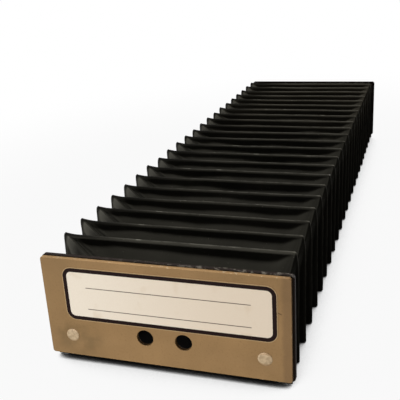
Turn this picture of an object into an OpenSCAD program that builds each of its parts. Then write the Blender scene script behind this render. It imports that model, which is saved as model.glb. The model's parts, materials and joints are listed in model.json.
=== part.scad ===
// Bellows way cover for a profile rail guide: a pleated cloth tunnel over a row of
// U-shaped stiffeners, with a bolted plate at each end. Millimetres.
// The origin lies on the outer face of the front plate, midway between its two bolt holes.
// X runs across the rail, Y along it, Z up. Heights named below start at the sole.

/* [Lengths] */
// Length over both end plates as the cover lies
rest_length = 318; // [120:1:600]
// Length over both end plates when it is pulled out fully
open_length = 630; // [450:1:680]
// How straight the cloth panels are pulled at the open length
open_share = 0.9; // [0.8:0.01:0.97]

/* [Pleats] */
// Width over the ridges
ridge_w = 86; // [76:1:110]
// Height of the ridges above the sole
ridge_h = 42.5; // [42:0.5:60]
// Width of the flat crest of a ridge
crest_w = 1.7; // [1.4:0.1:3]
// Width of the rounded bottom of a fold
valley_w = 0.8; // [0.4:0.1:1.2]
// Thickness of the coated cloth
skin_t = 0.4; // [0.3:0.05:0.6]
// Width of the cloth flap that is bonded to each end board
flap_w = 5; // [3:0.5:6]
// Height of the cloth hem above the sole
hem_h = 0.3; // [0.2:0.1:2]

/* [Stiffeners] */
// Thickness of a stiffener
rib_t = 0.6; // [0.4:0.1:0.8]
// Corner radius of a stiffener under the ridge
rib_r = 2.5; // [1:0.5:6]
// Lead-in at the foot of a stiffener, beside the rail
foot_bevel = 2; // [0.5:0.5:4]
// Gap between the cloth and the stiffener in it
cloth_gap = 0.3; // [0.2:0.1:0.5]

/* [Rail] */
// Width of the guide rail
rail_w = 34; // [20:1:45]
// Height of the rail's top above the sole
rail_h = 27.5; // [18:0.5:28]
// Gap between the rail and the stiffeners
rail_gap = 1.5; // [0.5:0.1:3]
// Corner radius of the rail cut-out
slot_r = 3; // [1:0.5:6]

/* [End plates] */
// Width of an end plate
plate_w = 88; // [80:1:120]
// Height of an end plate
plate_h = 38; // [37:0.5:50]
// Thickness of an end plate
plate_t = 1.5; // [1.2:0.1:3]
// Corner radius of an end plate
plate_r = 1; // [0.5:0.5:4]
// Height of the plate's lower edge above the sole
plate_rise = 2.7; // [0.5:0.1:5]
// Thickness of the plastic board behind an end plate
board_t = 1.5; // [1:0.1:3]
// How far the board stands out past the plate's edges
board_lip = 0.4; // [0:0.1:1]
// How far the front board sits to the right of its plate
board_shift = 0.4; // [0:0.1:0.6]
// How far the end fold of the cloth lies inside the plate's edges
end_inset = 1; // [0.6:0.1:3]

/* [Bolt holes] */
// Hole diameter in the front plate
front_hole_d = 6; // [4:0.1:7]
// Spacing of the two holes in the front plate
front_hole_gap = 14; // [10:0.5:20]
// Height of the front holes above the sole
bolt_h = 13; // [8:0.5:18]
// Hole diameter in the rear plate
rear_hole_d = 4.5; // [3:0.1:5.5]
// Spacing of the two holes in the rear plate
rear_hole_gap = 50; // [46:1:56]
// Height of the rear holes above the sole
rear_hole_h = 34; // [33:0.5:36]

/* [Rivets] */
// Spacing of the two rivets of an end
rivet_gap_x = 70; // [62:1:71]
// Height of the rivets above the sole
rivet_h = 10.7; // [7:0.1:14]
// Diameter of the countersunk head
rivet_head_d = 5; // [4:0.1:5.4]
// Diameter of the shank
rivet_d = 3; // [2:0.1:3.2]
// How far the head stands out of the plate
rivet_proud = 0.2; // [0:0.05:0.4]
// Diameter of the set tail behind the board
tail_d = 4.6; // [4:0.1:4.8]
// Thickness of the set tail behind the board
tail_t = 0.7; // [0.4:0.1:1]
// Gap between a rivet and its hole
rivet_fit = 0.05; // [0.02:0.01:0.1]

/* [Label] */
// Width of the label
label_w = 75.6; // [50:0.2:80]
// Height of the label
label_h = 20.4; // [10:0.2:21]
// Thickness of the label
label_t = 0.15; // [0.1:0.05:0.3]
// Corner radius of the label
label_r = 3.6; // [1:0.2:8]
// How far the label sits to the right of the middle
label_x = 1.7; // [0:0.1:2.5]
// Height of the label's middle above the sole
label_mid_h = 27.4; // [27:0.1:29]

/* [Hidden] */
$fn = 48;
ridges = 22;
pleats = ridges + 1;
end_t = plate_t + board_t;
pitch = (rest_length - 2 * end_t) / pleats;
open_pitch = (open_length - 2 * end_t) / pleats;
fold_flat = crest_w / 2 + valley_w / 2;
panel_len = (open_pitch / 2 - fold_flat) / open_share;
panel_run = pitch / 2 - fold_flat;
fold_depth = sqrt(pow(panel_len, 2) - pow(panel_run, 2));
shoulder = skin_t * (panel_len - panel_run) / fold_depth;
slot_w = rail_w + 2 * rail_gap;
slot_h = rail_h + rail_gap;
plate_top = plate_rise + plate_h;
rib_w = ridge_w - 2 * (skin_t + cloth_gap);
rib_h = ridge_h - skin_t - cloth_gap;
sink_t = (rivet_head_d - rivet_d) / 2;
eps = 0.01;

function two_digits(i) = str(i < 10 ? "0" : "", i);
function rib_name(i) = str("stiffener_", two_digits(i));
function ridge_y(i) = end_t + i * pitch;

// Moves a shape from heights above the sole to the origin between the front holes
module from_sole() {
    translate([0, 0, -bolt_h])
        children();
}

// Turns a drawing of width and height into a slab of thickness t that starts at y
module slab(y, t) {
    translate([0, y + t, 0])
        rotate([90, 0, 0])
            linear_extrude(t)
                children();
}

// Rectangle centred on x, from height h0 to h1, with round corners
module rounded_panel(w, h0, h1, r) {
    translate([-w / 2 + r, h0])
        square([w - 2 * r, h1 - h0]);
    translate([-w / 2, h0 + r])
        square([w, h1 - h0 - 2 * r]);
    for (x = [-w / 2 + r, w / 2 - r], h = [h0 + r, h1 - r])
        translate([x, h])
            circle(r);
}

// Cut-out for the rail, open below, with bevelled mouths of the given width
module rail_slot(bevel) {
    rounded_panel(slot_w, -slot_h, slot_h, slot_r);
    half = slot_w / 2;
    polygon([
        [-half - bevel - 1, -1],
        [half + bevel + 1, -1],
        [half, bevel],
        [-half, bevel]
    ]);
}

// Round holes, a pair at a spacing and a height
module hole_pair(gap, h, d) {
    for (side = [-1, 1])
        translate([side * gap / 2, h])
            circle(d = d);
}

// Places a pair of shapes on the rivet axes, facing along Y
module on_rivet_axes() {
    for (side = [-1, 1])
        translate([side * rivet_gap_x / 2, 0, rivet_h])
            rotate([-90, 0, 0])
                children();
}

// Puts the pieces of the front end at the rear end, outer face outwards
module at_rear() {
    translate([0, rest_length, 0])
        mirror([0, 1, 0])
            children();
}

// Solid of one rivet about its axis, larger all round by the given gap
module rivet_body(gap, reach) {
    rotate_extrude()
        polygon([
            [0, -rivet_proud],
            [rivet_head_d / 2 + gap, -rivet_proud],
            [rivet_head_d / 2 + gap, 0],
            [rivet_d / 2 + gap, sink_t],
            [rivet_d / 2 + gap, reach],
            [0, reach]
        ]);
}

// Sheet-metal end plate with countersunk rivet holes
module end_plate() {
    difference() {
        slab(0, plate_t)
            difference() {
                rounded_panel(plate_w, plate_rise, plate_top, plate_r);
                children();
            }
        on_rivet_axes()
            rivet_body(rivet_fit, plate_t + 1);
    }
}

// Plastic board that the cloth is bonded to, behind an end plate
module end_board(shift = 0) {
    slab(plate_t, board_t)
        difference() {
            translate([shift, 0])
                rounded_panel(
                    plate_w + 2 * board_lip,
                    plate_rise - board_lip,
                    plate_top + board_lip,
                    plate_r + board_lip
                );
            rail_slot(0);
            hole_pair(rivet_gap_x, rivet_h, rivet_d + 2 * rivet_fit);
            children();
        }
}

// Pair of rivets with set tails that hold a plate to its board
module end_rivets() {
    on_rivet_axes() {
        rivet_body(0, end_t + eps);
        translate([0, 0, end_t])
            cylinder(d = tail_d, h = tail_t);
    }
}

module front_plate() {
    color("tan")
        from_sole()
            end_plate()
                hole_pair(front_hole_gap, bolt_h, front_hole_d);
}

module front_board() {
    color("#1e1c1a")
        from_sole()
            end_board(board_shift);
}

module front_rivets() {
    color("#b9a582")
        from_sole()
            end_rivets();
}

module label() {
    color("#e1d2be")
        from_sole()
            slab(-label_t, label_t)
                translate([label_x, 0])
                    rounded_panel(
                        label_w,
                        label_mid_h - label_h / 2,
                        label_mid_h + label_h / 2,
                        label_r
                    );
}

module stiffener(i) {
    color("#2a2a28")
        from_sole()
            slab(ridge_y(i) - rib_t / 2, rib_t)
                difference() {
                    union() {
                        rounded_panel(rib_w, 0, rib_h, rib_r);
                        translate([-rib_w / 2, 0])
                            square([rib_w, rib_h / 2]);
                    }
                    rail_slot(foot_bevel);
                }
}

module rear_board() {
    color("#1e1c1a")
        from_sole()
            at_rear()
                end_board()
                    hole_pair(rear_hole_gap, rear_hole_h, rear_hole_d);
}

module rear_plate() {
    color("tan")
        from_sole()
            at_rear()
                end_plate() {
                    rail_slot(0);
                    hole_pair(rear_hole_gap, rear_hole_h, rear_hole_d);
                }
}

module rear_rivets() {
    color("#b9a582")
        from_sole()
            at_rear()
                end_rivets();
}

// The cloth is one zigzag sheet. A station holds the outer and the inner corner of a fold,
// each as [y, depth below the ridge line], then the ridge line's half width and height.
ridge_line = [ridge_w / 2, ridge_h];
end_line = [plate_w / 2 - end_inset, plate_top - end_inset];

function station(outer, inner, line) = [outer, inner, line];

function end_stations(y, s) = [
    station([y, flap_w], [y + s * skin_t, flap_w], end_line),
    station([y, 0], [y + s * skin_t, skin_t], end_line),
    station([y + s * crest_w / 2, 0], [y + s * (crest_w / 2 - shoulder), skin_t], end_line)
];

function crest_stations(y) = [
    for (s = [-1, 1])
        station(
            [y + s * crest_w / 2, 0],
            [y + s * (crest_w / 2 - shoulder), skin_t],
            ridge_line
        )
];

function valley_stations(y) = [
    for (s = [-1, 1])
        station(
            [y + s * valley_w / 2, fold_depth],
            [y + s * (valley_w / 2 + shoulder), fold_depth + skin_t],
            ridge_line
        )
];

function reversed(list) = [for (k = [len(list) - 1 : -1 : 0]) list[k]];

// Left foot, left shoulder, right shoulder and right foot of a station's section
function section(corner, line) = let (half = line[0] - corner[1], top = line[1] - corner[1]) [
    [-half, corner[0], hem_h],
    [-half, corner[0], top],
    [half, corner[0], top],
    [half, corner[0], hem_h]
];

module bellows_skin() {
    stations = concat(
        end_stations(ridge_y(0), 1),
        valley_stations(ridge_y(0.5)),
        [
            for (i = [1 : ridges])
                each concat(crest_stations(ridge_y(i)), valley_stations(ridge_y(i + 0.5)))
        ],
        reversed(end_stations(ridge_y(pleats), -1))
    );
    last = len(stations) - 1;
    points = [for (st = stations, side = [0, 1], p = section(st[side], st[2])) p];
    function outer(k, j) = 8 * k + j;
    function inner(k, j) = 8 * k + 4 + j;
    walls = [
        for (k = [0 : last - 1], j = [0 : 2])
            each [
                [outer(k, j), outer(k + 1, j), outer(k + 1, j + 1), outer(k, j + 1)],
                [inner(k, j), inner(k, j + 1), inner(k + 1, j + 1), inner(k + 1, j)]
            ]
    ];
    hems = [
        for (k = [0 : last - 1])
            each [
                [outer(k + 1, 0), outer(k, 0), inner(k, 0), inner(k + 1, 0)],
                [outer(k, 3), outer(k + 1, 3), inner(k + 1, 3), inner(k, 3)]
            ]
    ];
    ends = [
        for (j = [0 : 2])
            each [
                [outer(0, j), outer(0, j + 1), inner(0, j + 1), inner(0, j)],
                [outer(last, j + 1), outer(last, j), inner(last, j), inner(last, j + 1)]
            ]
    ];
    color("#161614")
        from_sole()
            polyhedron(points, concat(walls, hems, ends), convexity = 20);
}

front_plate();
front_board();
front_rivets();
label();
bellows_skin();
for (i = [1 : ridges])
    stiffener(i);
rear_board();
rear_plate();
rear_rivets();
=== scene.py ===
# %% [markdown]
# # A bellows way cover
# The real object is a folding cloth tunnel that keeps chips and coolant off a profile rail. A tan
# sheet-metal plate closes the rail end, a second plate screws to the carriage, and a black coated
# cloth is pleated between them over thin plastic stiffeners.
#
# The CAD model is already here as a fixed frame, in metres. It could be rendered as it is, but its
# skin is a sharp zigzag and its sheet metal has knife edges. So this file gives it its looks: soft
# cloth pleats, eased plates, beaten rivets, and a finish for every surface. Sizes in this file are
# in millimetres.

# %% Load the frame
import json
from math import pi, radians

import bmesh
import bpy
import numpy as np
from mathutils import Matrix, Vector, noise

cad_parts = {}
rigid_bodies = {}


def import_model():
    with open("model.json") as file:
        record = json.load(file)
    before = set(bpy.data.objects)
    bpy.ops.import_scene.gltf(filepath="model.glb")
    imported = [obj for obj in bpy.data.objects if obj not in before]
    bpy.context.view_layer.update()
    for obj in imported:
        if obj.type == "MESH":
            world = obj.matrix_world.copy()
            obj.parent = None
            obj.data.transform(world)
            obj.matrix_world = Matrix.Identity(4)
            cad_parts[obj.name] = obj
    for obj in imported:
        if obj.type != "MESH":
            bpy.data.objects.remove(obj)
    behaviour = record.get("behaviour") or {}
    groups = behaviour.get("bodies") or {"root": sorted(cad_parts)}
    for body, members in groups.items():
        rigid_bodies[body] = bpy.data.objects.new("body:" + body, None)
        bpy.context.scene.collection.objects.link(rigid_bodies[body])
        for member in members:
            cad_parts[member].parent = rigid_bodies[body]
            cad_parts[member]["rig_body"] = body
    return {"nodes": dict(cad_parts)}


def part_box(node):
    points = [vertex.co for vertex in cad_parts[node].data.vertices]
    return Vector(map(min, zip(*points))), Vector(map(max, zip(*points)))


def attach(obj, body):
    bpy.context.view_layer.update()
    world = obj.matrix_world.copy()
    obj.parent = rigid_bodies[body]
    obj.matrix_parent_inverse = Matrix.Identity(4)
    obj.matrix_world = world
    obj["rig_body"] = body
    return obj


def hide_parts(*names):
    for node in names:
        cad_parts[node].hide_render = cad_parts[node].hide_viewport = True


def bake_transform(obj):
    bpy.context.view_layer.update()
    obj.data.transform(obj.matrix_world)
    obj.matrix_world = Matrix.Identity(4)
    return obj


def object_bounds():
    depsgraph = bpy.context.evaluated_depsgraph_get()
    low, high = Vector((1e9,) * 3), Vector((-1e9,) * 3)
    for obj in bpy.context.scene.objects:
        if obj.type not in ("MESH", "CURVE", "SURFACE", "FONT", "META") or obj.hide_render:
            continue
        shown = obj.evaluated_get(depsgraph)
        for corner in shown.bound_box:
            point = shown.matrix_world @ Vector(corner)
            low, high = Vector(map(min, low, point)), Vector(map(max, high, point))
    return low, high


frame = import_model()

MM = 0.001
PER_METRE = 1000
nodes = frame["nodes"]
cad_box = [list(corner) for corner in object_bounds()]
print("CAD box in metres:", [[round(v, 4) for v in corner] for corner in cad_box])

# %% [markdown]
# ## The camera
# The photograph looks down on the plate from the front right, and the tunnel runs away to the upper
# right. A camera can be placed by eye, but then it is a little off. This one was solved from the
# corners of the plate and of the ridges, so it is given as a place, a point on its line of sight and a
# small roll. The lens follows from the focal length in the picture's own pixels.

# %% Camera
PICTURE_PX = 400
FOCAL_PX = 684.6
SENSOR = 36
CAMERA_PLACE = (80.39, -186.70, 124.23)
CAMERA_TARGET = (-18.51, 100.0, 13.29)
CAMERA_ROLL = radians(-3.51)
NEAREST = 10


def put(name, data):
    """A new object in the scene with this data."""
    made = bpy.data.objects.new(name, data)
    bpy.context.scene.collection.objects.link(made)
    return made


def aim(thing, place, target, roll=0.0):
    """Stand a camera or lamp at a place and point it at a target."""
    place, target = Vector(place) * MM, Vector(target) * MM
    turn = (target - place).to_track_quat("-Z", "Y").to_matrix().to_4x4()
    thing.matrix_world = Matrix.Translation(place) @ turn @ Matrix.Rotation(roll, 4, "Z")


camera = put("camera", bpy.data.cameras.new("camera"))
camera.data.sensor_width = SENSOR
camera.data.lens = FOCAL_PX / PICTURE_PX * SENSOR
camera.data.clip_start = NEAREST * MM
aim(camera, CAMERA_PLACE, CAMERA_TARGET, CAMERA_ROLL)
bpy.context.scene.camera = camera
print("lens", round(camera.data.lens, 1), "mm")

# %% [markdown]
# ## Shader maths that reads as Python
# A finish is a web of small nodes, and wiring them one by one hides the idea. `Value` wraps one
# output socket and answers to Python's operators, so a mask can be written as a formula, and each
# operator adds its own Math node. The reflected forms are there too, so that `1 - mask` works.

# %% Value
class Value:
    """One output socket of a finish, with Python's operators."""

    def __init__(self, finish, socket):
        self.finish, self.socket = finish, socket

    def math(self, operation, *numbers):
        return self.finish.node("Math", {"operation": operation}, dict(enumerate(numbers)))

    def __add__(self, other):
        return self.math("ADD", self, other)

    def __sub__(self, other):
        return self.math("SUBTRACT", self, other)

    def __rsub__(self, other):
        return self.math("SUBTRACT", other, self)

    def __mul__(self, other):
        return self.math("MULTIPLY", self, other)

    def __truediv__(self, other):
        return self.math("DIVIDE", self, other)

    def __rtruediv__(self, other):
        return self.math("DIVIDE", other, self)

    def __pow__(self, other):
        return self.math("POWER", self, other)

    def __abs__(self):
        return self.math("ABSOLUTE", self)

    def at_least(self, other):
        return self.math("MAXIMUM", self, other)

    def at_most(self, other):
        return self.math("MINIMUM", self, other)

    def sine(self):
        return self.math("SINE", self)

    __radd__, __rmul__ = __add__, __mul__


print("Value has", sum(callable(part) for part in vars(Value).values()), "methods")

# %% [markdown]
# ## A finish and its nodes
# `Finish` holds the node tree of one material, or of the world. Its `node` method makes any node from
# a type, its settings, which are set first, and its inputs. The other methods are the few patterns
# that nearly every surface here needs: a place in the frame, a soft step, a noise, a blend of two
# colours and a bump. The shader editor would do as well, but a finish made there can't be read back.

# %% Finish
class Finish:
    """A material, or the world, while its nodes are laid out."""

    def __init__(self, owner):
        owner.use_nodes = True
        self.owner, self.tree = owner, owner.node_tree
        self.tree.nodes.clear()

    def node(self, kind, settings=None, inputs=None, out=0):
        made = self.tree.nodes.new("ShaderNode" + kind)
        for name, setting in (settings or {}).items():
            setattr(made, name, setting)
        for key, value in (inputs or {}).items():
            if isinstance(value, Value):
                self.tree.links.new(value.socket, made.inputs[key])
            else:
                made.inputs[key].default_value = value
        return Value(self, made.outputs[out]) if made.outputs else None

    def parts(self, vector, count):
        """The first few parts of a vector in metres, each in millimetres."""
        return [self.node("SeparateXYZ", {}, {0: vector}, out=k) * PER_METRE for k in range(count)]

    def place(self):
        """The place in the frame as a vector, and its x, y and z in millimetres."""
        here = self.node("TexCoord", out="Object")
        return here, self.parts(here, 3)

    def stretch(self, vector, factors):
        return self.node("VectorMath", {"operation": "MULTIPLY"}, {0: vector, 1: factors})

    def rise(self, value, low, high):
        """0 below low, 1 above high, and a soft step between them."""
        limits = {"Value": value, "From Min": low, "From Max": high}
        return self.node("MapRange", {"interpolation_type": "SMOOTHSTEP"}, limits)

    def cloud(self, where, size, detail=3.0):
        """Soft noise from 0 to 1, with lumps of about this size."""
        inputs = {"Vector": where, "Scale": PER_METRE / size, "Detail": detail}
        return self.node("TexNoise", {}, inputs)

    def mix(self, share, first, second):
        return self.node("Mix", {"data_type": "RGBA"}, {0: share, 6: first, 7: second}, out=2)

    def bump(self, height, depth):
        """A Bump node for a height from 0 to 1 that stands for this depth."""
        return self.node("Bump", {}, {"Height": height, "Distance": depth * MM, "Strength": 1.0})

    def surface(self, **sockets):
        """The finished material. A socket's name is written in small letters with underscores."""
        names = {key.replace("_", " ").title(): value for key, value in sockets.items()}
        names = {key.replace("Ior", "IOR"): value for key, value in names.items()}
        shader = self.node("BsdfPrincipled", {}, names)
        self.node("OutputMaterial", {}, {"Surface": shader})
        return self.owner


def new_finish(name):
    return Finish(bpy.data.materials.new(name))


print("Finish has", sum(callable(part) for part in vars(Finish).values()), "methods")

# %% [markdown]
# ## Colours
# A colour read off a picture is coded for a screen, and shaders work in linear light. Blender's colour
# picker converts it in silence. A script has to do it, and this is the standard screen curve.

# %% Colours
WHITE = (1, 1, 1, 1)


def colour(red, green, blue):
    """A colour as read off a picture, 0 to 255, turned into the linear light that shaders use."""
    shares = [v / 255 for v in (red, green, blue)]
    return (*[v / 12.92 if v <= 0.04045 else ((v + 0.055) / 1.055) ** 2.4 for v in shares], 1.0)


print("tan as linear light:", [round(v, 3) for v in colour(148, 118, 78)])

# %% [markdown]
# ## The world
# The photograph has a plain white background. More light would whiten it, but would bleach the cover
# with it. So the white is for the eye alone: rays from the camera, and those that gloss or glass send
# on, see a world of strength 1, while the rays that light the scene meet a dim, even fill.

# %% World
FILL_LIGHT = 0.08


def seen_share(finish):
    """1 for the rays that show a surface, and 0 for those that only light the scene."""
    camera_ray, glossy_ray, glass_ray = [
        finish.node("LightPath", out=f"Is {kind} Ray") for kind in ("Camera", "Glossy", "Transmission")
    ]
    return (camera_ray + glossy_ray + glass_ray).at_most(1.0)


studio = Finish(bpy.data.worlds.new("studio"))
seen = seen_share(studio)
sky = studio.node("Background", {}, {"Color": WHITE, "Strength": seen + (1 - seen) * FILL_LIGHT})
studio.node("OutputWorld", {}, {"Surface": sky})
bpy.context.scene.world = studio.owner
view = bpy.context.scene.view_settings
view.view_transform = "Standard"
print("world fill", FILL_LIGHT)

# %% [markdown]
# ## The floor
# The cover lies on a plain pale floor. A floor of real white would throw light up between the pleats,
# which are nearly black in the photograph, so this one uses the world's trick: dark grey to the light
# and white to the eye. An ambient occlusion node finds where the cover stands close, and takes the
# white away there. What is left is a soft contact shadow.

# %% Floor
FLOOR_HALF = 1500
FLOOR_DROP = 0.2
FLOOR_GREY = (0.06, 0.06, 0.06, 1)
SHADOW_REACH, SHADOW_SAMPLES = 80, 16
SHADOW_OPEN = (0.25, 0.6)
COVER_MIDDLE_Y = 160
WHITER_X, WHITER_Y = 400, 500
WHITE_NEAR, WHITER_AWAY = 0.94, (0.3, 0.9)

floor_z = cad_box[0][2] - FLOOR_DROP * MM
reach = FLOOR_HALF * MM
square = [(-reach, -reach), (reach, -reach), (reach, reach), (-reach, reach)]
floor = put("floor", bpy.data.meshes.new("floor"))
floor.data.from_pydata([(x, y, floor_z) for x, y in square], [], [(0, 1, 2, 3)])

paper = new_finish("white_floor")
here, (x, y, z) = paper.place()
away = ((x / WHITER_X) ** 2 + ((y - COVER_MIDDLE_Y) / WHITER_Y) ** 2) ** 0.5
within = {"Distance": SHADOW_REACH * MM}
open_above = paper.node("AmbientOcclusion", {"samples": SHADOW_SAMPLES}, within, out="AO")
blank = seen_share(paper) * paper.rise(open_above, *SHADOW_OPEN)
blank = blank * (WHITE_NEAR + (1 - WHITE_NEAR) * paper.rise(away, *WHITER_AWAY))
lit = paper.node("BsdfDiffuse", {}, {"Color": FLOOR_GREY})
white = paper.node("Emission", {}, {"Color": WHITE, "Strength": 1.0})
both = paper.node("MixShader", {}, {0: blank, 1: lit, 2: white})
paper.node("OutputMaterial", {}, {"Surface": both})
floor.data.materials.append(paper.owner)
print("floor at", round(floor_z / MM, 2), "mm")

# %% [markdown]
# ## The lamps
# In the photograph the crests are bright lines, the panels under them are dim and the right wall is
# almost black, so the main light comes steeply from the left and a little from behind. A sun with a
# wide disc gives that evenly along the whole tunnel, where an area lamp would fade. It grazes the end
# plates, so a low strip in front of each end lights the plate and little of the folds behind it. The
# rear strip stands far off, because the rear plate moves a long way towards it as the cover opens.

# %% Lamps
SUN_STRENGTH = 4.0
SUN_DISC = radians(16)
SUN_FROM = (-350, 70, 930)
STRIP_HIGH = 24


def strip_lamp(name, place, target, wide, watts):
    lamp = put(name, bpy.data.lights.new(name, "AREA"))
    lamp.data.shape, lamp.data.size, lamp.data.size_y = "RECTANGLE", wide * MM, STRIP_HIGH * MM
    lamp.data.energy = watts
    aim(lamp, place, target)


key = put("key", bpy.data.lights.new("key", "SUN"))
key.data.energy, key.data.angle = SUN_STRENGTH, SUN_DISC
aim(key, SUN_FROM, (0, 0, 0))
strip_lamp("low_strip", (-200, -620, 14), (0, 0, 4), wide=420, watts=4.1)
strip_lamp("rear_strip", (830, 3750, 14), (0, 318, 4), wide=2180, watts=118)

# %% [markdown]
# ## Tan coat of the end plates
# The plates are sheet metal with a matte tan coat, and it is never one flat tone. It has broad clouds
# a finger wide, a fine grain, a hand smudge round the left rivet, a darker strip on the right where it
# is handled, one short scratch, and a rim that is chipped in places. A painted image could hold all
# that for one view. Masks in millimetres of the frame hold it for every view and at any zoom.

# %% Plate finish
SMUDGE_AT, SMUDGE_SIZE = (-33, -3.5), (10, 7)
CORNER_AT, CORNER_SIZE = (36, 24), (16, 6)
SCRATCH_AT, SCRATCH_RUN = (39.9, 15.2), (0.92, -0.39)
HANDLED_FROM, HANDLED_TO = 40.2, 41.8


def middle_and_half(node):
    """The middle and the half size of a CAD node's box."""
    low, high = [np.array(corner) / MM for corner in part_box(node)]
    return ((low + high) / 2).tolist(), ((high - low) / 2).tolist()


def oval(x, z, middle, half):
    """0 in the middle of an oval, and 1 on its edge."""
    return ((x - middle[0]) / half[0]) ** 2 + ((z - middle[1]) / half[1]) ** 2


plate_mid, plate_half = middle_and_half("front_plate")
coat = new_finish("tan_coat")
here, (x, y, z) = coat.place()
grain = coat.cloud(here, 0.7, 2)
tone = coat.mix(coat.cloud(here, 16), colour(130, 102, 67), colour(164, 130, 88))
tone = coat.mix(coat.rise(grain, 0.52, 0.75) * 0.35, tone, colour(124, 96, 60))

by_rivet = 1 - coat.rise(oval(x, z, SMUDGE_AT, SMUDGE_SIZE), 0.2, 1.3)
by_corner = 1 - coat.rise(oval(x, z, CORNER_AT, CORNER_SIZE), 0.3, 1.4)
smudge = by_rivet.at_least(by_corner * 0.3) * coat.rise(coat.cloud(here, 5, 4), 0.34, 0.62)
tone = coat.mix(smudge * 0.5, tone, colour(104, 84, 54))
# Painted shade: the plate is darker towards its left edge.
tone = coat.mix((1 - coat.rise(x, -44, -14)) * 0.3, tone, colour(118, 96, 66))
handled = coat.rise(x + (coat.cloud(here, 4) - 0.5) * 2, HANDLED_FROM, HANDLED_TO)
tone = coat.mix(handled * 0.45, tone, colour(106, 82, 58))

from_side = plate_half[0] - abs(x - plate_mid[0])
from_rim = from_side.at_most(plate_half[2] - abs(z - plate_mid[2]))
chipped = coat.rise(coat.cloud(here, 1.3, 4), 0.58, 0.68) * (1 - coat.rise(from_rim, 0.1, 0.4))
tone = coat.mix(chipped * 0.4, tone, colour(184, 168, 140))
right, up = x - SCRATCH_AT[0], z - SCRATCH_AT[1]
along = right * SCRATCH_RUN[0] + up * SCRATCH_RUN[1]
across = up * SCRATCH_RUN[0] - right * SCRATCH_RUN[1]
scratch = (1 - coat.rise(abs(along), 0.7, 1.3)) * (1 - coat.rise(abs(across), 0.08, 0.26))
tone = coat.mix(scratch * 0.75, tone, colour(70, 50, 34))

tan_coat = coat.surface(
    base_color=tone,
    roughness=0.5 + grain * 0.16 - chipped * 0.12,
    metallic=chipped * 0.3,
    specular_ior_level=0.1,
    normal=coat.bump(grain, 0.02),
)
print("plate half sizes in mm:", [round(v, 2) for v in plate_half])

# %% [markdown]
# ## Eased sheet-metal edges
# A punched plate never has a knife edge, and a small bevel is what catches the light along it. A Bevel
# modifier on the CAD node would change the node, which has to stay as it is. So each plate gets a copy
# with eased edges that stands in for the node. Flat triangles are merged first, so that the bevel
# follows true edges only.

# %% End plates
EASE = 0.18
WELD = 1e-6
FLAT_ANGLE, EDGE_ANGLE, SHADE_ANGLE = radians(0.5), radians(40), radians(15)


def stand_in(name, shape, node, material, shade_angle):
    """A piece made from a bmesh that stands for a CAD node and moves with that node's body."""
    mesh = bpy.data.meshes.new(name)
    shape.to_mesh(mesh)
    shape.free()
    mesh.shade_smooth()
    mesh.set_sharp_from_angle(angle=shade_angle)
    mesh.materials.append(material)
    made = put(name, mesh)
    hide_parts(node)
    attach(made, nodes[node]["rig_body"])
    print(name, len(mesh.polygons), "faces")


def eased_plate(node):
    shape = bmesh.new()
    shape.from_mesh(nodes[node].data)
    bmesh.ops.remove_doubles(shape, verts=shape.verts, dist=WELD)
    bmesh.ops.dissolve_limit(shape, angle_limit=FLAT_ANGLE, verts=shape.verts, edges=shape.edges)
    sharp = [e for e in shape.edges if len(e.link_faces) == 2 and e.calc_face_angle() > EDGE_ANGLE]
    bmesh.ops.bevel(shape, geom=sharp, offset=EASE * MM, segments=2, affect="EDGES", profile=0.5)
    bmesh.ops.triangulate(shape, faces=[f for f in shape.faces if len(f.verts) > 4])
    stand_in(node + "_eased", shape, node, tan_coat, SHADE_ANGLE)


eased_plate("front_plate")
eased_plate("rear_plate")

# %% [markdown]
# ## Label
# The label is a cream paper sticker with a dark rounded border, set a little inside its cut edge. The
# border is a band of one distance field, the distance in from a rounded rectangle's edge, which is
# exact at any zoom where a drawn picture would blur. The space inside is a blank form with two thin
# ruled lines. It is a little darker towards the right, and has a few faint stains.

# %% Label finish
LABEL_R = 3.6
BORDER_FROM, BORDER_TO = (0.18, 0.32), (1.6, 1.78)
MARGIN = (0.25, 0.5)
RULE_HEIGHTS = (2.8, -5.4)
RULE_HALF, RULE_END = 29.0, 29.4


def dress(node, material):
    """Give a CAD node that keeps its shape a finish."""
    nodes[node].data.materials.clear()
    nodes[node].data.materials.append(material)


label_mid, label_half = middle_and_half("label")
sticker = new_finish("cream_label")
here, (x, y, z) = sticker.place()
past_x = abs(x - label_mid[0]) - (label_half[0] - LABEL_R)
past_z = abs(z - label_mid[2]) - (label_half[2] - LABEL_R)
past_corner = (past_x.at_least(0.0) ** 2 + past_z.at_least(0.0) ** 2) ** 0.5
inset = LABEL_R - past_corner - past_x.at_least(past_z).at_most(0.0)

fibre = sticker.cloud(here, 0.35, 3)
stain = sticker.rise(sticker.cloud(here, 9, 4), 0.56, 0.72)
cream = sticker.mix(sticker.rise(x, -38, 30), colour(239, 228, 211), colour(227, 211, 190))
cream = sticker.mix(fibre * 0.35, cream, colour(214, 196, 172))
cream = sticker.mix(stain * 0.3, cream, colour(205, 180, 148))
cream = sticker.mix(1 - sticker.rise(inset, *MARGIN), cream, colour(176, 148, 110))

ragged = inset + (fibre - 0.5) * 0.1
border = sticker.rise(ragged, *BORDER_FROM) * (1 - sticker.rise(ragged, *BORDER_TO))
within = 1 - sticker.rise(abs(x - label_mid[0]), RULE_HALF, RULE_END)
rules = 0.0
for height in RULE_HEIGHTS:
    line = 1 - sticker.rise(abs(z - (label_mid[2] + height)), 0.1, 0.22)
    rules = rules + line * within
inked = (border + rules * 0.8).at_most(1.0)
ink = sticker.mix(fibre, colour(22, 12, 11), colour(36, 23, 21))
label_paper = sticker.surface(
    base_color=sticker.mix(inked, cream, ink),
    roughness=0.52 - inked * 0.1,
    specular_ior_level=0.04,
    normal=sticker.bump(sticker.cloud(here, 6), 0.05),
)
dress("label", label_paper)
print("label half sizes in mm:", [round(v, 2) for v in label_half])

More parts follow.
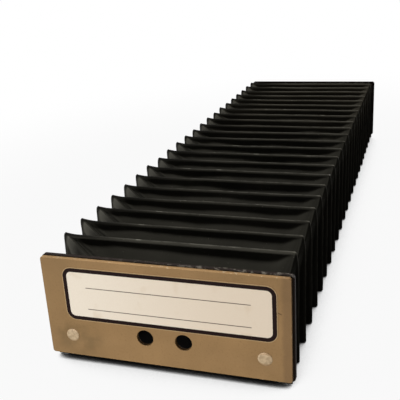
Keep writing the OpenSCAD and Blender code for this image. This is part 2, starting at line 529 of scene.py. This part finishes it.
# %% [markdown]
# ## Rivet finish
# Each plate is held to its board by two rivets that are beaten nearly flush. Their heads are pale, dull
# and dusty, and the beating has smeared tan coat over the rim, so that the bare metal shows as an oval
# of its own on each side. An oval mask with a ragged edge gives that without a second material.

# %% Rivet finish
HEAD_R, HEAD_PROUD = 2.5, 0.2
BARE_LEFT, BARE_RIGHT = (2.35, 2.2), (2.75, 1.85)


def head_middles(node):
    """x of the left and the right rivet of a CAD node, and their common height."""
    middle, half = middle_and_half(node)
    reach = half[0] - HEAD_R
    return (middle[0] - reach, middle[0] + reach), middle[2]


metal = new_finish("beaten_rivet")
here, (x, y, z) = metal.place()
dents, dust_and_sheen = metal.cloud(here, 1.1, 4), metal.cloud(here, 0.4, 2)
tone = metal.mix(metal.rise(dents, 0.35, 0.65), colour(154, 131, 99), colour(180, 156, 122))
tone = metal.mix(metal.rise(dust_and_sheen, 0.6, 0.75) * 0.4, tone, colour(140, 117, 82))
sides, head_z = head_middles("front_rivets")
for side, bare in zip(sides, (BARE_LEFT, BARE_RIGHT)):
    reach = oval(x, z, (side, head_z), bare) ** 0.5 + (dents - 0.5) * 0.35
    smeared = metal.rise(reach, 0.9, 1.05) * (1 - metal.rise(abs(x - side), 5, 6))
    tone = metal.mix(smeared * 0.85, tone, colour(148, 117, 79))
rivet_metal = metal.surface(
    base_color=tone,
    roughness=0.62 - dents * 0.2,
    metallic=0.15,
    normal=metal.bump(dents, 0.06),
)
print("rivets at", [round(side, 2) for side in sides], "mm")

# %% [markdown]
# ## Beaten rivets
# In the photograph the heads are rough and not quite round. A cylinder with a bump would still have a
# round rim, so each rivet is a lathe of rings in mesh code: head, shank and the tail behind the board.
# Noise moves the rim and the top of the head, with a seed for each side, and the rest stays true.

# %% Rivets
RIVET_RINGS = [(0.35, -0.2), (0.9, -0.2), (1.5, -0.19), (2.05, -0.16), (2.4, -0.09), (HEAD_R, 0.0),
               (1.52, 0.98), (1.5, 2.99), (2.1, 3.02), (2.3, 3.1), (2.3, 3.55), (2.1, 3.68), (0.4, 3.7)]
RIVET_SIDES = 40
RIVET_SEEDS = (1.7, 6.2)
RIVET_ANGLE = radians(38)


def rivet(shape, at, seed, turn):
    """One rivet as rings of radius and depth round Y. Turn is 1 at the front and -1 at the rear."""
    def point(x, depth, z):
        return shape.verts.new(Vector((at[0] + x, at[1] + turn * depth, at[2] + z)) * MM)

    loops = []
    for radius, depth in RIVET_RINGS:
        beaten = float(depth < 0)
        loop = []
        for angle in 2 * pi * np.arange(RIVET_SIDES) / RIVET_SIDES:
            cos, sin = np.cos(angle), np.sin(angle)
            lump = noise.noise(Vector((cos * 1.1 + seed, sin * 1.1, radius * 0.2)))
            dent = noise.noise(Vector((cos * radius * 1.3, sin * radius * 1.3 + seed, 3.7)))
            reach = radius * (1 - 0.07 * abs(lump) * beaten)
            loop.append(point(reach * cos, depth + 0.05 * dent * beaten, reach * sin))
        loops.append(loop)
    for a, b in zip(loops, loops[1:]):
        for k in range(RIVET_SIDES):
            following = (k + 1) % RIVET_SIDES
            shape.faces.new((a[k], b[k], b[following], a[following]))
    for loop, depth in ((loops[0], RIVET_RINGS[0][1]), (loops[-1], RIVET_RINGS[-1][1])):
        hub = point(0, depth, 0)
        for k in range(RIVET_SIDES):
            shape.faces.new((loop[k], loop[(k + 1) % RIVET_SIDES], hub))


def rivet_pair(node, turn):
    middle, half = middle_and_half(node)
    face = middle[1] - turn * (half[1] - HEAD_PROUD)
    sides, height = head_middles(node)
    shape = bmesh.new()
    for seed, side in zip(RIVET_SEEDS, sides):
        rivet(shape, (side, face, height), seed, turn)
    bmesh.ops.recalc_face_normals(shape, faces=shape.faces)
    stand_in(node + "_beaten", shape, node, rivet_metal, RIVET_ANGLE)


rivet_pair("front_rivets", 1)
rivet_pair("rear_rivets", -1)

# %% [markdown]
# ## Boards
# Behind each plate is a black board that clamps the cloth. Its CAD shape is right as it is, so the node
# keeps it and only gets a finish: a brownish hard plastic, flecked where it was sawn, with pale dust on
# the top edge that stands out past the plate. The dust is a mask of height, so it stays off the sides.

# %% Board finish
DUSTY_FROM, DUSTY_TO = 27.0, 27.8

board = new_finish("black_board")
here, (x, y, z) = board.place()
fleck, haze = board.cloud(here, 0.5, 3), board.cloud(here, 8)
tone = board.mix(haze, colour(20, 15, 13), colour(34, 26, 21))
tone = board.mix(board.rise(fleck, 0.6, 0.72) * 0.5, tone, colour(78, 66, 56))
dusty = board.rise(z, DUSTY_FROM, DUSTY_TO) * board.rise(board.cloud(here, 1.6, 4), 0.5, 0.64)
tone = board.mix(dusty * board.rise(x, -30, 30) * 0.6, tone, colour(118, 112, 102))
black_board = board.surface(
    base_color=tone,
    roughness=0.58 + fleck * 0.2,
    specular_ior_level=0.05,
    normal=board.bump(fleck, 0.03),
)
for node in ("front_board", "rear_board"):
    dress(node, black_board)
print("finished 2 boards with", black_board.name)

# %% [markdown]
# ## Stiffeners
# Inside each ridge is a thin U of black plastic sheet, which shows only at the feet and from the mouth
# of the tunnel. It too keeps its CAD shape. Sheet that was cut on a press has a faint haze and fine
# tool marks, and a noise that is squeezed along the height draws those marks without any extra mesh.

# %% Stiffener finish
# Lumps of the noise to a metre, along x, y and z
TOOL_MARKS = (60, 60, 1800)

ribs = sorted(node for node in nodes if node.startswith("stiffener"))
plastic = new_finish("stiffener_plastic")
here, (x, y, z) = plastic.place()
haze = plastic.cloud(here, 11)
marks = plastic.cloud(plastic.stretch(here, TOOL_MARKS), PER_METRE, 2)
tone = plastic.mix(haze, colour(24, 24, 25), colour(40, 40, 41))
tone = plastic.mix(plastic.rise(marks, 0.62, 0.8) * 0.4, tone, colour(66, 66, 66))
stiffener_plastic = plastic.surface(
    base_color=tone,
    roughness=0.42 + marks * 0.2,
    specular_ior_level=0.3,
    normal=plastic.bump(marks, 0.015),
)
for node in ribs:
    dress(node, stiffener_plastic)
print("finished", len(ribs), "stiffeners with", stiffener_plastic.name)

# %% [markdown]
# ## Coated cloth
# The outside of the skin is woven cloth under a matte black coat. The weave shows only as a fine quilt,
# about three threads to the millimetre. Along the crests the coat is lighter grey, partly rubbed wear and
# partly a painted highlight that grows towards the right, with short painted glints. The tops carry pale
# specks, and the top is painted lighter towards the far end, a painted sheen. The pleats carry a map of
# the flat cloth, u round the tunnel and v from crest to crest, so that the distance from the nearest
# crest is a short formula. Object coordinates alone could not follow the folds.

# %% Cloth finish
CREST_TO_CREST = 29.6
COAT_THREAD = 0.36
CREST_BAND = (0.14, 0.44)
FAR_SHEEN_Y, FAR_SHEEN_Z = (120, 300), (14, 22)
GLINT_DRAWN = (0.3, 1, 1)


def cloth_map(finish):
    """u round the tunnel and v along the fold, in millimetres of flat cloth."""
    return finish.parts(finish.node("UVMap", {"uv_map": "cloth"}, {}), 2)


def weave(u, v, thread):
    """A quilt of crossing threads from -1 to 1, with threads this far apart."""
    return (u * (pi / thread)).sine() * (v * (pi / thread)).sine()


coated = new_finish("coated_cloth")
here, (x, y, z) = coated.place()
u, v = cloth_map(coated)
pebble = coated.cloud(here, 0.8, 3)
from_crest = CREST_TO_CREST / 2 - abs(v - CREST_TO_CREST / 2)
at_crest = 1 - coated.rise(from_crest, *CREST_BAND)
tone = coated.mix(coated.cloud(here, 13), colour(40, 39, 34), colour(56, 54, 48))
# Painted sheen: the top of the cloth is lighter towards the far end.
dust_and_sheen = coated.rise(y, *FAR_SHEEN_Y) * coated.rise(z, *FAR_SHEEN_Z)
tone = coated.mix(dust_and_sheen * 0.35, tone, colour(84, 78, 66))
# Lighter along the crests: rubbed wear, and a painted highlight that grows towards the right and is
# stronger where the painted sheen is.
wear_and_highlight = at_crest * coated.rise(coated.cloud(here, 3.5, 4), 0.3, 0.6)
wear_and_highlight = wear_and_highlight * (0.3 + 0.7 * coated.rise(x, -40, 5))
tone = coated.mix(wear_and_highlight * (0.5 + dust_and_sheen * 0.25), tone, colour(86, 84, 76))

drawn = coated.stretch(here, GLINT_DRAWN)
glint = at_crest * coated.rise(coated.cloud(drawn, 1.6, 3), 0.6, 0.72)
glint = glint * (0.25 + 0.75 * coated.rise(z, 16, 28))
specks = coated.rise(coated.cloud(here, 0.6, 1), 0.75, 0.8) * coated.rise(z, 18, 24)
tone = coated.mix((glint * 0.5).at_least(specks * 0.35), tone, colour(132, 129, 118))
print("rubbed up to", CREST_BAND[1], "mm from a crest")

# %% [markdown]
# ## Painted light and shade at the corners of the cloth
# On the left the small facets that face outwards are painted lighter, a painted light, while the ends of
# the crests over them are painted dark, a painted shade. On the right a thin pale rim runs down the edge
# of each ridge, a painted highlight. The tuck creases are painted dark on both sides, a painted shade.
# Painting that by hand would mean 23 pleats one by one. The way a face looks, its place and its distance
# from a crest find these spots on all of them at once.

# %% Painted light and shade at the corners
OUTWARD, FACET_X, FACET_Z = (0.04, 0.24), (-32, -24), (6, 20)
END_SHADE_BAND, END_SHADE_X = (0.5, 1.2), (-36, -16)
RIM_X, RIM_Z = (41, 42.5), (8, 24)

facing = coated.node("NewGeometry", out="Normal")
to_left = 0 - coated.node("SeparateXYZ", {}, {0: facing}, out=0)
# Painted light: the facets on the left that face outwards are lighter.
painted_facet_light = coated.rise(to_left, *OUTWARD) * coated.rise(z, *FACET_Z) * (1 - coated.rise(x, *FACET_X))
tone = coated.mix(painted_facet_light * 0.7, tone, colour(102, 100, 92))
# Painted shade: the ends of the crests on the left are darker.
crest_end_shade = (1 - coated.rise(from_crest, *END_SHADE_BAND)) * (1 - coated.rise(x, *END_SHADE_X))
tone = coated.mix(crest_end_shade * 0.85, tone, colour(16, 15, 13))
# Painted highlight: a pale line down the right edge of each ridge.
rim = at_crest * coated.rise(x, *RIM_X) * coated.rise(z, *RIM_Z)
tone = coated.mix(rim * 0.5, tone, colour(110, 106, 96))
# Painted shade in the tuck creases, and darker at the tips of the left corners.
crease = coated.node("Attribute", {"attribute_name": "crease"}, {}, out="Fac")
tone = coated.mix(crease * 0.88, tone, colour(13, 13, 11))
coated_cloth = coated.surface(
    base_color=tone,
    roughness=0.5 + pebble * 0.14 + wear_and_highlight * 0.1,
    specular_ior_level=0.012,
    normal=coated.bump(weave(u, v, COAT_THREAD) * 0.25 + pebble * 0.75, 0.05),
)
print("cloth outside:", coated_cloth.name)

# %% [markdown]
# ## Bare lining
# Inside the tunnel the cloth has no coat, so it is rougher and its weave is open to view, two threads
# to the millimetre with slubs where the yarn is thicker. It uses the same map of the flat cloth, so
# the threads run true round the tunnel and along the folds.

# %% Lining finish
LINING_THREAD = 0.5

lining = new_finish("cloth_lining")
here, (x, y, z) = lining.place()
over = weave(*cloth_map(lining), LINING_THREAD)
slub = lining.cloud(here, 2.5, 3)
pale = 0.5 + over * 0.3 + (slub - 0.5) * 0.5
cloth_lining = lining.surface(
    base_color=lining.mix(pale, colour(30, 30, 31), colour(58, 57, 56)),
    roughness=0.85,
    specular_ior_level=0.2,
    normal=lining.bump(over * 0.5 + 0.5, 0.06),
)
print("cloth inside:", cloth_lining.name)

# %% [markdown]
# ## The pleat's section
# From a crest the cloth wraps the stiffener, hangs almost straight down as a narrow fin, and then
# flares out to the valley fold. That is why the photograph shows a dark leaf-shaped band under every
# crest and a lighter panel below it. Near the mitred corners the cloth is taut, the fin is short and
# the band tapers away. A Bezier curve would need two sets of handles for that. Here a soft bend, a
# rounded ramp that starts at the foot of the fin, gives every state from one number, the fin's height.

# %% Section of half a pleat
THICK = 0.36
DEEP = 12.7
NECK = 0.53
BEND_SOFT = 0.13
# Points of the cloth as offset from the ridge and depth, over a stiffener and over an end board's flap
WRAP = [(0.0, THICK / 2), (0.1, 0.21), (0.22, 0.32), (0.36, 0.52), (0.48, 0.76), (NECK, 1.0)]
FLAP = [(0.2, 5.0), (0.2, 3.0), (0.2, 1.4), (0.21, 0.7), (0.26, 0.36), (0.34, 0.24),
        (0.43, 0.3), (0.49, 0.5), (0.525, 0.75), (NECK, 1.0)]
# Depths of the rows below the neck, close together where the fin ends
DROPS = np.append(np.linspace(1.2, 3.7, 11), [4.0, 4.4, 5.0, 6.0, 7.2, 8.5, 9.8, 11.0, 12.0, DEEP])

holders = ["front_board", *ribs, "rear_board"]
PLEATS = len(holders) - 1
ridge_y = [middle_and_half(holder)[0][1] for holder in holders]
ridge_y[0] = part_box("front_board")[1][1] / MM
ridge_y[-1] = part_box("rear_board")[0][1] / MM
pitch = ridge_y[1] - ridge_y[0]


def half_pleat(fin, start):
    """Offsets from the ridge and depths below it, by row and column, for a row of fin heights."""
    def bend(drop):
        return BEND_SOFT * np.log1p(np.exp((drop - fin) / BEND_SOFT))

    rows = [np.tile(point, (len(fin), 1)) for point in start]
    for drop in DROPS:
        flare = NECK + (pitch / 2 - NECK) * bend(drop) / bend(DEEP)
        rows.append(np.stack([flare, np.full(len(fin), drop)], -1))
    rows = np.array(rows)
    return rows[:, :, 0], rows[:, :, 1]


print(PLEATS, "pleats, ridges every", round(pitch, 3), "mm, fold depth", DEEP, "mm")

# %% [markdown]
# ## Columns round the tunnel
# The columns of the mesh run from the left hem up the wall, round the corner, across the top and down
# again. An even spacing would waste points on the flat parts, so they crowd together near the corners,
# where the mitre needs a crisp crease. Each column has a zone and a spot in it: a share of a wall's
# height, an angle round a corner, or a share of the half width of the top.

# %% Columns
LEFT_WALL, LEFT_CORNER, TOP_PANEL, RIGHT_CORNER, RIGHT_WALL = range(5)
TOP_HALF, WALL_HIGH = 40.55, 39.5
# Distances of the columns from the corner, along the top and down a wall
top_steps = np.array([0, 0.5, 1, 1.5, 2, 2.6, 3.3, 4.1, 5, 6, 7.2, 8.6, 10.2, 12,
                      14, 16.5, 19.5, 23, 27, 31.5, 36])
wall_steps = np.array([39.5, 36, 31, 26, 21, 17, 13.5, 10.5, 8, 6, 4.2, 2.8, 1.7, 0.8, 0])
corner_at = np.radians([15, 30, 45, 60, 75])

to_middle = top_steps / TOP_HALF - 1
top_at = np.concatenate([to_middle, [0.0], -to_middle[::-1]])
wall_at = 1 - wall_steps / WALL_HIGH
spots = [wall_at, corner_at, top_at, corner_at[::-1], wall_at[::-1]]
spot = np.concatenate(spots)
zone = np.concatenate([np.full(len(part), k) for k, part in enumerate(spots)])
on_wall = (zone == LEFT_WALL) | (zone == RIGHT_WALL)
on_corner = (zone == LEFT_CORNER) | (zone == RIGHT_CORNER)
on_right = (zone > TOP_PANEL) | ((zone == TOP_PANEL) & (spot > 0))
print(len(zone), "columns,", int(on_right.sum()), "of them on the right")

# %% [markdown]
# ## From a column and a depth to a point
# The outline of the tunnel shrinks as it goes deeper into a fold. Its corner radius shrinks with it,
# from a crest corner to a sharp mitre line. In the photograph the two sides differ, because the slack
# cover bows to the left: the mitres on the right stand almost upright, and the left ones lie flatter.
# Below the corners both walls lean out a little. One formula for all columns, with a few values that
# depend on the side, keeps neighbouring columns in step, which separate shapes would not.

# %% Outline
CORNER_IN = np.where(on_right, 0.5, 0.9)
MITRE_R = 0.22
CREST_R = np.where(on_right, 0.25, 0.2)
CREST_R_FADE = 1.5
LEAN = np.where(on_right, 1.0, 1.6)
LEAN_FADE = np.where(on_right, 4.0, 2.8)
# How far a mitre steps inwards for each millimetre of depth
STEP_IN = np.where(on_right, 0.2, 1.5)
# The share of a wall, from its top down, over which that step turns into 1
STEP_FADE = 0.5
END_INSET = 1.0

low, high = [np.array(corner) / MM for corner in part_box("bellows_skin")]
WIDE, TOP, HEM = high[0], high[2], low[2]
TOP_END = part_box("front_plate")[1][2] / MM - END_INSET
low_on_wall = np.where(on_wall, np.clip((1 - spot) / STEP_FADE, 0, 1), 0.0)
NARROW = STEP_IN + (1 - STEP_IN) * low_on_wall


def outline(depth, top, shrink):
    """x and z of every column at its depth, for a ridge whose top is at this height."""
    depth = np.asarray(depth)
    wide, high = WIDE - CORNER_IN - depth * NARROW, top - depth * shrink
    radius = MITRE_R + CREST_R * np.exp(-np.clip(depth, 0, None) / CREST_R_FADE)
    side = np.where(zone < TOP_PANEL, -1, 1)
    bend_x, bend_z = wide - radius + radius * np.cos(spot), high - radius + radius * np.sin(spot)
    wall_z = HEM + spot * (high - radius - HEM)
    wall_x = wide + LEAN * (1 - np.exp((wall_z - high) / LEAN_FADE))
    x = np.where(zone == TOP_PANEL, spot * (wide - radius), side * np.where(on_corner, bend_x, wall_x))
    z = np.where(zone == TOP_PANEL, high, np.where(on_corner, bend_z, wall_z))
    return x, z


crest_x, crest_z = outline(np.full(len(zone), THICK / 2), TOP, 1.0)
from_mitre = np.where(zone == TOP_PANEL, WIDE - abs(crest_x), np.where(on_wall, TOP - crest_z, 0.0))
round_u = np.concatenate([[0], np.cumsum(np.hypot(np.diff(crest_x), np.diff(crest_z)))])
print(round(round_u[-1], 1), "mm round a crest")

# %% [markdown]
# ## Uneven cloth
# No two pleats of the real cover are alike: crests waver, fins hang to different depths and panels
# bulge. A cloth simulation would give that, but it would also lose the sharp creases that make a
# bellows. Noise round the tunnel does it with control. It acts only where the cloth is slack, and it
# fades out towards the mitres, where the cloth is pulled tight.

# %% Uneven cloth
# Distances from a mitre at which the cloth starts to be slack and is wholly slack
TOP_SLACK = (0.5, np.where(on_right, 8.0, 5.0))
WALL_SLACK = (1.5, 11)
NOISE_GAIN = 1.6
SEED_STEP = 3.17


def soft(value, low, high):
    """0 below low, 1 above high, and a soft step between them."""
    t = np.clip((value - low) / (high - low), 0, 1)
    return t * t * (3 - 2 * t)


def wander(seed, size):
    """Noise round the tunnel from about -1 to 1, with waves of about this length."""
    places = [Vector((u / size, seed * SEED_STEP, 0.4)) for u in round_u]
    return np.array([noise.noise(place) * NOISE_GAIN for place in places])


slack_wall = np.where(on_wall, soft(from_mitre, *WALL_SLACK), 0.0)
slackness = np.where(zone == TOP_PANEL, soft(from_mitre, *TOP_SLACK), slack_wall)
print("slack columns:", int((slackness > 0.5).sum()), "of", len(zone))

# %% [markdown]
# ## Corners of a pleat
# Where the cloth turns a corner there is too much of it, and the spare is folded under. On the left of
# the cover that shows as two dark creases at each corner, one along the mitre and one that runs
# away from it, and as corner tips that are drawn up to small dark horns. The creases are pressed into
# the mesh, so that they hold in every view, and the same numbers are kept as an attribute that darkens
# them in the finish, a painted shade.

# %% Corners
FAR = 99.0
# Distance of each crease from the mitre at the crest, and what is added to it down to the valley
CREASES = [(1.45, -0.36), (1.9, 1.9)]
CREASE_WIDE = 0.4
CREASE_STARTS, CREASE_ENDS = (0.04, 0.14), (0.75, 1)
CREASE_SIDES = np.where(on_right, 0.2, 1.0)
# The columns of the top draw together towards the valley, by about this share
DRAWN_IN = 0.28
HORN_HIGH, HORN_VARIES, HORN_AT_END = 0.6, 0.3, 0.15
HORN_WIDE = 3.0
HORN_SIDES = np.where(on_right, -0.2, 1.0)
TIP_DARK, TIP_WIDE = 0.9, 1.3
TIP_ENDS = (0.03, 0.12)


def tuck_creases(share):
    """How deep the tuck creases are, 1 at most. Share is the depth as a share of the fold."""
    reach = np.where(zone == TOP_PANEL, from_mitre * (1 - share * DRAWN_IN), FAR)
    lines = [start + added * share for start, added in CREASES]
    near = [np.exp(-((reach - line) / CREASE_WIDE) ** 2) for line in lines]
    fade = soft(share, *CREASE_STARTS) * (1 - soft(share, *CREASE_ENDS))
    return np.maximum(*near) * fade * CREASE_SIDES


def corner_horn(share, ridge, end):
    """How far the corner of a ridge is drawn up. The right corners drop a little instead."""
    varied = HORN_HIGH + HORN_VARIES * noise.noise(Vector((ridge * 2.7, 0.3, 0.9)))
    height = HORN_AT_END if end else varied
    return height * np.exp(-(from_mitre / HORN_WIDE) ** 2) * (1 - share) ** 2 * HORN_SIDES


def dark_tip(share):
    """How dark the very tip of a left corner is."""
    near = np.exp(-(from_mitre / TIP_WIDE) ** 2) * ~on_right
    return TIP_DARK * near * (1 - soft(share, *TIP_ENDS))


print("horn of the first ridge:", round(float(corner_horn(0.0, 1, False).max()), 2), "mm")

# %% [markdown]
# ## Half a pleat
# Each pleat is a piece of its own, from the middle of one crest to the middle of the next, because
# each one lies between two stiffeners. It is made in two halves, one for each ridge. Noise with the
# ridge's seed moves the two halves at a crest alike, so that they always meet. Noise with the pleat's
# own seed makes its fin and its panels differ from those of its neighbours.

# %% Half a pleat
FIN_TAUT, FIN_SLACK = 0.9, 2.4
CREASE_DEEP = 0.85
SAG = 0.1
# Height and length of the long and short waves in a crest's sag, in its stray and in a fin
SAG_WAVES = [(0.11, 34), (0.08, 6)]
STRAY_WAVES = [(0.12, 28), (0.03, 8)]
FIN_WAVES = [(0.3, 26), (0.16, 8)]
# And of the waves that lift a panel and push it along the rail
LIFT_WAVES = [(0.32, 15)]
PUSH_WAVES = [(0.3, 22)]


def waves(kinds, *seeds):
    """Waves round the tunnel, added up. Each kind has a seed of its own."""
    return sum(high * wander(seed, long) for (high, long), seed in zip(kinds, seeds))


def ridge_waver(ridge):
    """How far the crest of a ridge sags, and how far it strays along the rail."""
    sag = SAG + waves(SAG_WAVES, ridge + 0.5, ridge + 0.2)
    stray = waves(STRAY_WAVES, ridge * 1.9, ridge * 1.3)
    return sag * slackness, stray


def side_of_pleat(pleat, ridge, back):
    """x, y, z and darkness of half a pleat, in rows from its ridge to the valley."""
    end = ridge in (0, PLEATS)
    uneven = waves(FIN_WAVES, pleat * 2.3 + back * 31, pleat * 1.1 + back * 17)
    offset, depth = half_pleat(FIN_TAUT + FIN_SLACK * slackness * (1 + uneven), FLAP if end else WRAP)
    share = np.clip(depth / DEEP, 0, 1)
    belly = np.sin(pi * share) * slackness
    sag, stray = (0.0, 0.0) if end else ridge_waver(ridge)
    crease = tuck_creases(share)
    depth = depth + sag * (1 - share) - corner_horn(share, ridge, end) + CREASE_DEEP * crease
    depth = depth - waves(LIFT_WAVES, pleat * 1.7 + back * 11) * belly
    offset = offset + waves(PUSH_WAVES, pleat * 0.9 + back * 5) * belly
    top = TOP_END if end else TOP
    x, z = outline(depth, top, 1 - (TOP - top) / DEEP)
    y = ridge_y[ridge] + (-offset if back else offset) + stray * (1 - share)
    return np.stack([x, y, z, np.maximum(crease, dark_tip(share))], axis=-1)


print("half a pleat:", side_of_pleat(1, 1, False).shape[:2], "rows and columns")

# %% [markdown]
# ## Solid cloth from a sheet of points
# The rows and columns are the middle surface of the cloth. A Solidify modifier could thicken it, but
# the outside and the lining need their own finish and the same map of the flat cloth. So the two sides
# are offset along the normals here and joined by a rim, which gives a closed mesh with the map, the
# crease attribute and both finishes in place.

# %% Solid cloth
CLOTH_ANGLE = radians(55)


def cloth_faces(rows, cols):
    """Faces of the outside, of the lining and of the rim that joins them, as vertex numbers."""
    index = np.arange(rows * cols).reshape(rows, cols)
    quads = [index[:-1, :-1], index[:-1, 1:], index[1:, 1:], index[1:, :-1]]
    outside = np.stack(quads, -1).reshape(-1, 4)
    ring = np.concatenate([index[0, ::-1], index[1:, 0], index[-1, 1:], index[-2:0:-1, -1]])
    following = np.roll(ring, -1)
    rim = np.stack([ring, following, following + rows * cols, ring + rows * cols], -1)
    return outside, outside[:, ::-1] + rows * cols, rim


def cloth_solid(name, middle, crease, along):
    """A closed sheet of cloth round a middle surface. Along is the flat length at each row."""
    normal = np.cross(np.gradient(middle, axis=1), np.gradient(middle, axis=0))
    normal *= THICK / 2 / np.linalg.norm(normal, axis=-1, keepdims=True)
    verts = np.concatenate([(middle + normal).reshape(-1, 3), (middle - normal).reshape(-1, 3)]) * MM
    outside, inside, rim = cloth_faces(*middle.shape[:2])
    faces = np.concatenate([outside, inside, rim])
    mesh = bpy.data.meshes.new(name)
    mesh.from_pydata(verts.tolist(), [], faces.tolist())
    mesh.materials.append(coated_cloth)
    mesh.materials.append(cloth_lining)
    mesh.polygons.foreach_set("material_index", np.repeat([0, 1], [len(outside), len(inside) + len(rim)]))
    flat = np.stack(np.broadcast_arrays(round_u[None, :], along[:, None]), -1).reshape(-1, 2) * MM
    lay = mesh.uv_layers.new(name="cloth")
    lay.data.foreach_set("uv", np.tile(flat, (2, 1))[faces.reshape(-1)].astype("f").reshape(-1))
    painted_darkness = mesh.attributes.new("crease", "FLOAT", "POINT")
    painted_darkness.data.foreach_set("value", np.tile(crease.reshape(-1), 2).astype("f"))
    mesh.shade_smooth()
    mesh.set_sharp_from_angle(angle=CLOTH_ANGLE)
    return put(name, mesh)


print("cloth", THICK, "mm thick")

# %% [markdown] ## The whole skin Now the two halves of each pleat are joined at the valley. Each
# pleat carries its strip of the flat cloth as its map: the full round of a crest and its hems wide,
# and as long as the section from crest to crest. The spare cloth at the mitres is why the strip is
# larger than the surface that shows.

# %% Pleats
faces = 0
for k in range(PLEATS):
    fore, aft = side_of_pleat(k, k, False), side_of_pleat(k, k + 1, True)
    valley = (fore[-1] + aft[-1]) / 2
    points = np.concatenate([fore[:-1], valley[None], aft[-2::-1]])
    points, crease = points[..., :3], points[..., 3]
    steps = np.linalg.norm(np.diff(points[:, len(zone) // 2], axis=0), axis=1)
    along = np.concatenate([[0], np.cumsum(steps)]) * CREST_TO_CREST / steps.sum()
    pleat = cloth_solid(f"pleat_{k + 1:02d}", points, crease, along)
    ridge_y[k] * MM
    ridge_y[k + 1] * MM
    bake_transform(pleat)
    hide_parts("bellows_skin")
    faces += len(pleat.data.polygons)
print(PLEATS, "pleats,", faces, "faces")

# %% [markdown] ## Sizes Blender must not change the object's size. The CAD box is printed
# at the start of the file.
